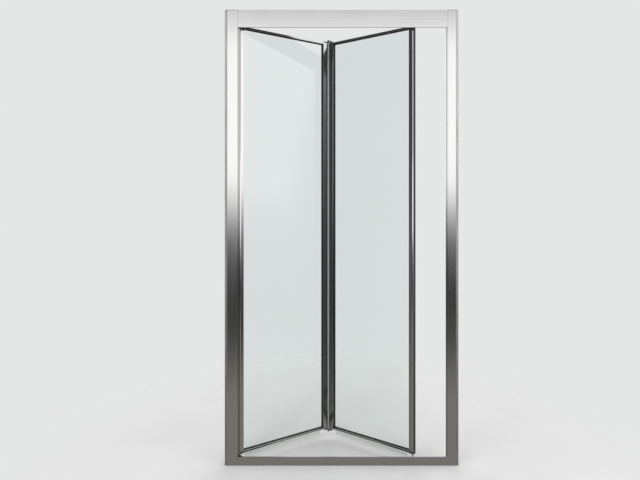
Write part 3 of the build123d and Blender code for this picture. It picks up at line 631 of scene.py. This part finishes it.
def addScrewHead(form, radius, height, rounded, reach):
    # A pan head standing on its seat at zero, with a cross recess, and its shank below.
    arm, half = crossHead["arm"], crossHead["half"]
    rim = bmesh.ops.create_circle(form, cap_ends=False, segments=crossHead["segments"], radius=radius)["verts"]
    bmesh.ops.translate(form, vec=(0, 0, height), verts=rim)
    rimEdges = form.edges[:]
    corners = []
    for quarter in range(4):
        swing = Matrix.Rotation(quarter * math.pi / 2, 3, "Z")
        corners += [swing @ Vector(corner) for corner in ((arm, -half, height), (arm, half, height), (half, half, height))]
    cross = addChain(form, corners)
    form.edges.new((cross[-1], cross[0]))
    crossEdges = [edge for edge in form.edges if edge not in rimEdges]
    bmesh.ops.triangle_fill(form, edges=rimEdges + crossEdges, use_beauty=True, normal=(0, 0, 1))
    made = bmesh.ops.extrude_edge_only(form, edges=crossEdges)["geom"]
    sunk = [item for item in made if isinstance(item, bmesh.types.BMVert)]
    bmesh.ops.translate(form, vec=(0, 0, -crossHead["depth"]), verts=sunk)
    bmesh.ops.scale(form, vec=(crossHead["taper"], crossHead["taper"], 1), verts=sunk)
    bmesh.ops.contextual_create(form, geom=[item for item in made if isinstance(item, bmesh.types.BMEdge)])
    made = bmesh.ops.extrude_edge_only(form, edges=rimEdges)["geom"]
    base = [item for item in made if isinstance(item, bmesh.types.BMVert)]
    bmesh.ops.translate(form, vec=(0, 0, -height), verts=base)
    bmesh.ops.contextual_create(form, geom=[item for item in made if isinstance(item, bmesh.types.BMEdge)])
    bmesh.ops.recalc_face_normals(form, faces=form.faces)
    roundEdges(form, [edge for edge in rimEdges if edge.is_valid], rounded, 4)
    shank = bmesh.new()
    turn(shank, [(0.0, 0.0), (crossHead["shank"], 0.0), (crossHead["shank"], -reach), (0.0, -reach)], 24)
    bmesh.ops.recalc_face_normals(shank, faces=shank.faces)
    addForm(form, shank)


def addScrew(form, place, seat, outwards, size):
    # One upright screw on a seat, with its head up or down.
    screw = bmesh.new()
    addScrewHead(screw, size["radius"], size["height"], size["rounded"], size["reach"])
    if outwards < 0:
        bmesh.ops.rotate(screw, verts=screw.verts, cent=(0, 0, 0), matrix=Matrix.Rotation(math.pi, 3, "X"))
    bmesh.ops.translate(screw, vec=(place[0], place[1], seat), verts=screw.verts)
    addForm(form, screw)


bracketScrew = {"radius": 3.5, "height": 2.3, "rounded": 1.2, "reach": 16.0, "base": 3.0, "along": 425.25}
blockScrew = {"radius": 3.3, "height": 2.2, "rounded": 0.3, "reach": 14.0, "place": (-428.5, 0.0)}
blockFaces = ((25.8, 1), (1905.2, -1))


def buildScrews():
    for leafName in leaves:
        form = bmesh.new()
        for end, outwards in ((leafBottom, -1), (leafTop, 1)):
            addScrew(form, (bracketScrew["along"], 0), end + outwards * bracketScrew["base"], outwards,
                     bracketScrew)
        makePiece(form, f"{leafName}_bracket_screw_heads", steel, leafName,
                  (f"{leafName}_bracket_screws",), leaves[leafName]["place"])
    form = bmesh.new()
    for face, outwards in blockFaces:
        addScrew(form, blockScrew["place"], face - outwards * blockScrew["height"], outwards, blockScrew)
    makePiece(form, "block_screw_heads", steel, "frame", ("pivot_block_screws",))


coverForm = {
    "across": 481.0, "face": 22.0, "levels": (300.0, 975.0, 1650.0),
    "profile": ((0.0, 4.0), (1.6, 3.95), (3.2, 3.7), (4.6, 3.2), (5.6, 2.5), (6.2, 1.7), (6.45, 0.9),
                (6.5, 0.5), (6.5, 0.0), (5.2, 0.0), (5.0, 1.4), (0.0, 1.6)),
}


def buildCovers():
    # Domed caps over the jambs' screws, on the bather's side.
    form = bmesh.new()
    for side in (-1, 1):
        for height in coverForm["levels"]:
            cap = bmesh.new()
            turn(cap, coverForm["profile"], 40)
            bmesh.ops.rotate(cap, verts=cap.verts, cent=(0, 0, 0), matrix=Matrix.Rotation(-math.pi / 2, 3, "X"))
            bmesh.ops.translate(cap, vec=(side * coverForm["across"], coverForm["face"], height), verts=cap.verts)
            addForm(form, cap)
    makePiece(form, "domed_screw_covers", chrome, "frame", ("screw_cover_caps",))


hingePin = {
    "profile": ((0.0, 31.0), (1.6, 31.1), (2.9, 31.4), (3.7, 31.9), (4.2, 32.5), (4.3, 33.0),
                (2.5, 33.0), (2.5, 46.0), (0.0, 46.0)),
}
leafMiddle = (leafBottom + leafTop) / 2


def buildHingePins():
    for name, flip in (("lower_hinge_pin", False), ("upper_hinge_pin", True)):
        form = bmesh.new()
        profile = hingePin["profile"]
        if flip:
            profile = [(radius, 2 * leafMiddle - height) for radius, height in profile]
        turn(form, profile, 40)
        bmesh.ops.translate(form, vec=(hingeX, hingeY, 0), verts=form.verts)
        makePiece(form, f"{name}_turned", steel, "pivot_leaf", (name,))


threadForm = {"pitch": 1.25, "depth": 0.45}


def threaded(radius, low, high):
    # The profile of a threaded stretch: a ridge and a root for each turn of the pitch.
    profile = []
    turns = int(abs(high - low) / threadForm["pitch"])
    way = 1 if high > low else -1
    for number in range(turns):
        height = low + way * number * threadForm["pitch"]
        profile.append((radius - threadForm["depth"], height))
        profile.append((radius, height + way * threadForm["pitch"] / 2))
    return profile


def addHexagon(form, radius, low, high, bevelled=0.5):
    # A nut-shaped collar with its corners turned off.
    nut = bmesh.new()
    bmesh.ops.create_circle(nut, cap_ends=True, segments=6, radius=radius)
    bmesh.ops.rotate(nut, verts=nut.verts, cent=(0, 0, 0), matrix=Matrix.Rotation(math.radians(30), 3, "Z"))
    bmesh.ops.translate(nut, vec=(0, 0, low), verts=nut.verts)
    pull(nut, nut.faces[:], (0, 0, high - low))
    bmesh.ops.recalc_face_normals(nut, faces=nut.faces)
    ends = [edge for edge in nut.edges if abs(edge.verts[0].co.z - edge.verts[1].co.z) < 0.01]
    roundEdges(nut, ends, bevelled, 2)
    addForm(form, nut)


pivotPin = {"radius": 4.0, "hexagon": 7.0, "inLeaf": 28.0}
guidePin = {"radius": 3.0, "hexagon": 5.0, "hexagonHeight": 5.0, "nut": 1.5, "inLeaf": 28.0}


def buildPivotPins():
    # Each pin has a plain journal in its bush, a hexagon, and a thread up to its leaf.
    for name, tip, hexLow, hexHigh, leafEnd, root in (
        ("lower_pivot_pin", 13.5, 27.55, 33.55, leafBottom - 3, leafBottom + pivotPin["inLeaf"]),
        ("upper_pivot_pin", 1917.5, 1900.0, 1894.0, leafTop + 3, leafTop - pivotPin["inLeaf"]),
    ):
        radius = pivotPin["radius"]
        way = 1 if root > tip else -1
        profile = [(0.0, tip), (radius - 0.8, tip), (radius, tip + way * 0.8), (radius, hexHigh)]
        profile += threaded(radius, hexHigh, leafEnd)
        profile += [(radius, leafEnd), (radius, root), (0.0, root)]
        form = bmesh.new()
        turn(form, profile, 40)
        addHexagon(form, pivotPin["hexagon"], min(hexLow, hexHigh), max(hexLow, hexHigh))
        bmesh.ops.translate(form, vec=(pivotAxis, 0, 0), verts=form.verts)
        makePiece(form, f"{name}_turned", steel, "pivot_leaf", (name,))


def buildGuidePins():
    for name, rollerNear, rollerFar, leafEnd, way in (
        ("lower_guide_pin", 20.3, 11.2, leafBottom - 3, -1),
        ("upper_guide_pin", 1909.7, 1924.3, leafTop + 3, 1),
    ):
        radius = guidePin["radius"]
        hexFar = rollerNear - way * guidePin["hexagonHeight"]
        root = leafEnd - way * (guidePin["inLeaf"] + 3)
        tip = rollerFar + way * guidePin["nut"]
        profile = [(0.0, tip), (radius - 0.5, tip), (radius, tip - way * 0.5), (radius, hexFar)]
        profile += threaded(radius, hexFar, leafEnd)
        profile += [(radius, leafEnd), (radius, root), (0.0, root)]
        form = bmesh.new()
        turn(form, profile, 36)
        addHexagon(form, guidePin["hexagon"], *sorted((rollerNear, hexFar)))
        addHexagon(form, guidePin["hexagon"], *sorted((rollerFar, tip)), 0.3)
        bmesh.ops.translate(form, vec=(guideAxis, 0, 0), verts=form.verts)
        makePiece(form, f"{name}_turned", steel, "leading_leaf", (name,))


rollers = (
    {"name": "top_guide_roller", "low": 1910.0, "high": 1924.0, "radius": 8.7, "hub": 4.9, "web": 1.0},
    {"name": "sill_guide_roller", "low": 11.5, "high": 20.0, "radius": 6.7, "hub": 4.4, "web": 0.7},
)


def buildRoller(setting):
    # A crowned nylon tyre with a dished web and a raised hub, bored for its pin.
    low, high = setting["low"], setting["high"]
    radius, hub, web = setting["radius"], setting["hub"], setting["web"]
    middle = (low + high) / 2
    half = [(3.05, 0.0), (hub - 0.3, 0.0), (hub, 0.3), (hub + 0.2, web), (radius - 1.7, web),
            (radius - 1.5, 0.2), (radius - 1.3, 0.0), (radius - 0.9, 0.05), (radius - 0.4, 0.35),
            (radius - 0.12, 0.9), (radius - 0.03, 1.8)]
    profile = [(out, low + inwards) for out, inwards in half]
    profile.append((radius, middle))
    profile += [(out, high - inwards) for out, inwards in reversed(half)]
    form = bmesh.new()
    turn(form, profile + [profile[0]], 64)
    bmesh.ops.translate(form, vec=(guideAxis, 0, 0), verts=form.verts)
    name = setting["name"]
    makePiece(form, f"{name}_moulded", nylon, name, (name,))


for leafName in leaves:
    buildGasket(leafName)
    buildWiper(leafName)
buildFinSeal()
buildHingeSeal()
buildBumper()
print("made the seals")
buildScrews()
buildCovers()
buildHingePins()
buildPivotPins()
buildGuidePins()
for setting in rollers:
    buildRoller(setting)
print("made the pins, screws and rollers")


# Camera at the photo's viewpoint: level, looking straight at the frame.
photoView = {
    "place": (0.0274, -2.176, 1.136),
    "focalPixels": 503.7,
    "vanishing": (348.0, 200.0),
    "image": (640.0, 480.0),
    "sensor": 36.0,
}


def buildCamera():
    width, height = photoView["image"]
    cameraData = bpy.data.cameras.new("photoCamera")
    cameraData.sensor_width = photoView["sensor"]
    cameraData.lens = photoView["focalPixels"] / width * photoView["sensor"]
    cameraData.shift_x = (width / 2 - photoView["vanishing"][0]) / width
    cameraData.shift_y = (photoView["vanishing"][1] - height / 2) / width
    cameraData.clip_end = 50.0
    camera = bpy.data.objects.new("photoCamera", cameraData)
    camera.location = photoView["place"]
    camera.rotation_euler = (math.radians(90), 0, 0)
    bpy.context.collection.objects.link(camera)
    bpy.context.scene.camera = camera


floorDisc = {"radius": 1.7, "segments": 96, "fadeFrom": 0.95, "fadeTo": 1.65}


def buildFloor():
    # A plain pale disc that fades out at its rim, kept out of the metal's reflections.
    form = bmesh.new()
    bmesh.ops.create_circle(form, cap_ends=True, segments=floorDisc["segments"], radius=floorDisc["radius"])
    mesh = bpy.data.meshes.new("studioFloor")
    form.to_mesh(mesh)
    form.free()
    floor = bpy.data.objects.new("studioFloor", mesh)
    bpy.context.collection.objects.link(floor)
    material, tree, shader = newMaterial("paleFloor", (0.84, 0.84, 0.83), 0.75)
    soft = noise(tree, coordinates(tree, (3, 3, 3)), 1.0, 3.0, 0.5)
    tone = tint(tree, spread(tree, soft, 0.0, 1.0), (0.82, 0.82, 0.81), (0.86, 0.86, 0.85))
    link(tree, tone, shader.inputs["Base Color"])
    rays = addNode(tree, "ShaderNodeLightPath")
    reach = addNode(tree, "ShaderNodeVectorMath", operation="LENGTH")
    link(tree, coordinates(tree, (1, 1, 1)), reach.inputs[0])
    hidden = addNode(tree, "ShaderNodeMath", operation="ADD", use_clamp=True)
    link(tree, rays.outputs["Glossy Depth"], hidden.inputs[0])
    fade = spread(tree, reach.outputs["Value"], 0.0, 1.0, floorDisc["fadeFrom"], floorDisc["fadeTo"])
    link(tree, fade, hidden.inputs[1])
    unseen = addNode(tree, "ShaderNodeBsdfTransparent")
    either = addNode(tree, "ShaderNodeMixShader")
    link(tree, hidden.outputs[0], either.inputs["Fac"])
    link(tree, shader.outputs["BSDF"], either.inputs[1])
    link(tree, unseen.outputs["BSDF"], either.inputs[2])
    link(tree, either.outputs["Shader"], tree.nodes["Material Output"].inputs["Surface"])
    mesh.materials.append(material)
    floor.visible_glossy = False
    floor.location.z = -0.0004


# What the metal mirrors, by the height of the reflected ray: a bright wall above the horizon,
# a dim band below it and a warmer floor. The room is darker to the left, and darkest where
# the rays run almost along the frame or have met two mirrors.
studioTones = {
    "front": ((-0.60, (0.23, 0.22, 0.20)), (-0.36, (0.25, 0.243, 0.215)), (-0.30, (0.15, 0.148, 0.133)),
              (-0.25, (0.065, 0.064, 0.060)), (-0.195, (0.045, 0.045, 0.045)), (-0.14, (0.075, 0.075, 0.076)),
              (-0.11, (0.115, 0.115, 0.117)), (-0.079, (0.21, 0.21, 0.212)), (-0.04, (0.50, 0.50, 0.504)),
              (0.0, (1.02, 1.02, 1.03)), (0.04, (1.40, 1.40, 1.41)), (0.295, (1.38, 1.38, 1.39)),
              (0.345, (0.80, 0.80, 0.81)), (0.60, (0.70, 0.70, 0.71))),
    "left": ((-0.60, (0.22, 0.21, 0.195)), (-0.415, (0.19, 0.185, 0.165)), (-0.303, (0.15, 0.148, 0.14)),
             (-0.195, (0.085, 0.09, 0.09)), (-0.079, (0.13, 0.13, 0.137)), (0.10, (0.070, 0.076, 0.080)),
             (0.27, (0.045, 0.052, 0.06)), (0.60, (0.08, 0.09, 0.10))),
    "far": ((-0.60, (0.34, 0.335, 0.32)), (-0.385, (0.16, 0.157, 0.15)), (-0.365, (0.052, 0.055, 0.056)),
            (0.60, (0.046, 0.053, 0.056))),
    "plain": (0.93, 0.935, 0.94),
}
studioTurns = {"left": (0.28, 0.45), "far": (0.86, 0.90)}


def toneRamp(tree, height, stops):
    ramp = addNode(tree, "ShaderNodeValToRGB")
    link(tree, height, ramp.inputs["Fac"])
    elements = ramp.color_ramp.elements
    for index, (level, colour) in enumerate(stops):
        place = (level + 0.6) / 1.2
        element = elements[index] if index < 2 else elements.new(place)
        element.position = place
        element.color = (*colour, 1)
    return ramp.outputs["Color"]


def blend(tree, share, first, second):
    mixed = addNode(tree, "ShaderNodeMix", data_type="RGBA")
    link(tree, share, mixed.inputs["Factor"])
    link(tree, first, mixed.inputs["A"])
    link(tree, second, mixed.inputs["B"])
    return mixed.outputs["Result"]


def buildStudio():
    studio = bpy.data.worlds.new("studio")
    bpy.context.scene.world = studio
    studio.use_nodes = True
    tree = studio.node_tree
    background = tree.nodes["Background"]
    direction = addNode(tree, "ShaderNodeTexCoord")
    parts = addNode(tree, "ShaderNodeSeparateXYZ")
    link(tree, direction.outputs["Generated"], parts.inputs["Vector"])
    height = spread(tree, parts.outputs["Z"], 0.0, 1.0, -0.6, 0.6)
    leftwards = addNode(tree, "ShaderNodeMath", operation="MULTIPLY")
    leftwards.inputs[1].default_value = -1.0
    link(tree, parts.outputs["X"], leftwards.inputs[0])
    aside = addNode(tree, "ShaderNodeMath", operation="ABSOLUTE")
    link(tree, parts.outputs["X"], aside.inputs[0])
    mirrored = toneRamp(tree, height, studioTones["front"])
    for band, sense in (("left", leftwards), ("far", aside)):
        share = spread(tree, sense.outputs[0], 0.0, 1.0, *studioTurns[band])
        mirrored = blend(tree, share, mirrored, toneRamp(tree, height, studioTones[band]))
    rays = addNode(tree, "ShaderNodeLightPath")
    twice = spread(tree, rays.outputs["Glossy Depth"], 0.0, 1.0, 1.0, 2.0)
    mirrored = blend(tree, twice, mirrored, toneRamp(tree, height, studioTones["far"]))
    reflected = addNode(tree, "ShaderNodeMath", operation="MINIMUM")
    reflected.inputs[1].default_value = 1.0
    link(tree, rays.outputs["Glossy Depth"], reflected.inputs[0])
    plain = addNode(tree, "ShaderNodeRGB")
    plain.outputs[0].default_value = (*studioTones["plain"], 1)
    shown = blend(tree, reflected.outputs[0], plain.outputs[0], mirrored)
    link(tree, shown, background.inputs["Color"])
    background.inputs["Strength"].default_value = 0.85


softLights = (
    {"name": "keyLight", "place": (-1.6, -2.4, 2.9), "size": 1.8, "power": 21},
    {"name": "fillLight", "place": (2.2, -1.6, 2.2), "size": 2.0, "power": 10},
    {"name": "backLight", "place": (0.4, 2.4, 2.8), "size": 2.0, "power": 14},
)


def buildLights():
    for setting in softLights:
        lamp = bpy.data.lights.new(setting["name"], "AREA")
        lamp.size = setting["size"]
        lamp.energy = setting["power"]
        holder = bpy.data.objects.new(setting["name"], lamp)
        holder.location = setting["place"]
        aim = Vector((0, 0, 0.9)) - holder.location
        holder.rotation_euler = aim.to_track_quat("-Z", "Y").to_euler()
        holder.visible_glossy = False
        holder.visible_transmission = False
        bpy.context.collection.objects.link(holder)


bpy.context.scene.view_settings.view_transform = "Standard"
buildCamera()
buildFloor()
buildStudio()
buildLights()
for leafName in leaves:
    nodes[f"{leafName}_glass"].visible_shadow = False
print("set the camera, floor and lights")
